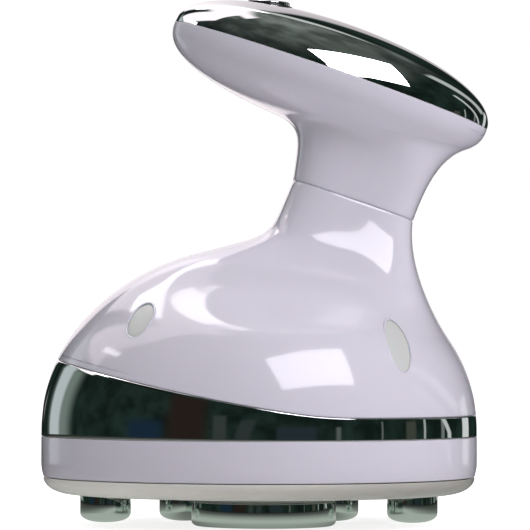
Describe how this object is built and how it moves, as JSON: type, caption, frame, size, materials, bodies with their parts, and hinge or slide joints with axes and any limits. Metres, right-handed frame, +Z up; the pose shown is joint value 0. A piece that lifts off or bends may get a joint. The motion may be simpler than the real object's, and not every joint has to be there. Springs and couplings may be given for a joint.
{
  "type": "radio frequency body slimming device",
  "caption": "Handheld body care device: a round base with metal treatment heads under a swept dome, and a sloping mushroom handle with a push button.",
  "frame": {"origin": "under the centre of the round base, on the plane through the lowest points of the treatment heads, which the device stands on", "axes": "+Z up along the axis of the base; +X towards the side where the handle slopes down; +Y to the back, where the power socket is; the device is symmetrical about Y = 0 except for its heads"},
  "size_m": [0.1415, 0.138, 0.1663],
  "materials": {
    "white_shell": "glossy moulded plastic, lilac white",
    "chrome_trim": "mirror, metallised",
    "chrome_heads": "polished plating on the treatment heads",
    "warm_cover": "satin translucent plastic, warm grey",
    "frosted_lens": "frosted translucent plastic",
    "pale_seal": "soft silicone, pale grey",
    "dark_seal": "soft rubber, dark grey",
    "button_metal": "metallised cap",
    "black_plastic": "moulded, dark",
    "chassis_plastic": "moulded, grey",
    "board_green": "circuit board with solder mask",
    "led_clear": "clear light-emitting parts on small carriers",
    "core_dark": "ferrite core with a wound bobbin",
    "sink_aluminium": "extruded, plain",
    "can_blue": "sleeved cans",
    "plug_ivory": "plain nylon",
    "cable_black": "sleeved wires",
    "sensor_amber": "bead in resin",
    "screw_steel": "zinc plated",
    "brass_tag": "bright stamped"
  },
  "bodies": {
    "body": {"dome_shell": "white_shell", "chrome_band": "chrome_trim", "lower_shell": "white_shell", "light_cover": "warm_cover", "chassis": "chassis_plastic", "probe_head": "chrome_heads", "probe_ring": "pale_seal", "temperature_sensor": "sensor_amber", "probe_screws": "screw_steel", "electrode_left": "chrome_heads", "electrode_right": "chrome_heads", "electrode_rear_left": "chrome_heads", "electrode_rear_right": "chrome_heads", "electrode_gaskets": "dark_seal", "electrode_terminals": "brass_tag", "electrode_nuts": "screw_steel", "led_board": "board_green", "leds": "led_clear", "main_board": "board_green", "rf_transformer": "core_dark", "heat_sink": "sink_aluminium", "power_transistors": "black_plastic", "capacitors": "can_blue", "harness_plug": "plug_ivory", "board_screws": "screw_steel", "power_socket": "black_plastic", "shell_screws": "screw_steel", "window_front_left": "frosted_lens", "window_front_right": "frosted_lens", "window_rear_left": "frosted_lens", "window_rear_right": "frosted_lens", "window_leds": "led_clear", "handle_shell": "white_shell", "handle_cover": "chrome_trim", "neck_screws": "screw_steel", "button_guide": "black_plastic", "button_board": "board_green", "tact_switch": "black_plastic", "button_screws": "screw_steel", "wire_harness": "cable_black"},
    "button": {"power_button": "button_metal", "switch_plunger": "plug_ivory"}
  },
  "joints": [
    {"name": "button_press", "type": "slide", "parent": "body", "child": "button", "axis": [-0.0523, 0, -0.9986], "range_m": [0, 0.0008], "stiffness_N_per_m": 400, "springref_m": -0.001}
  ]
}
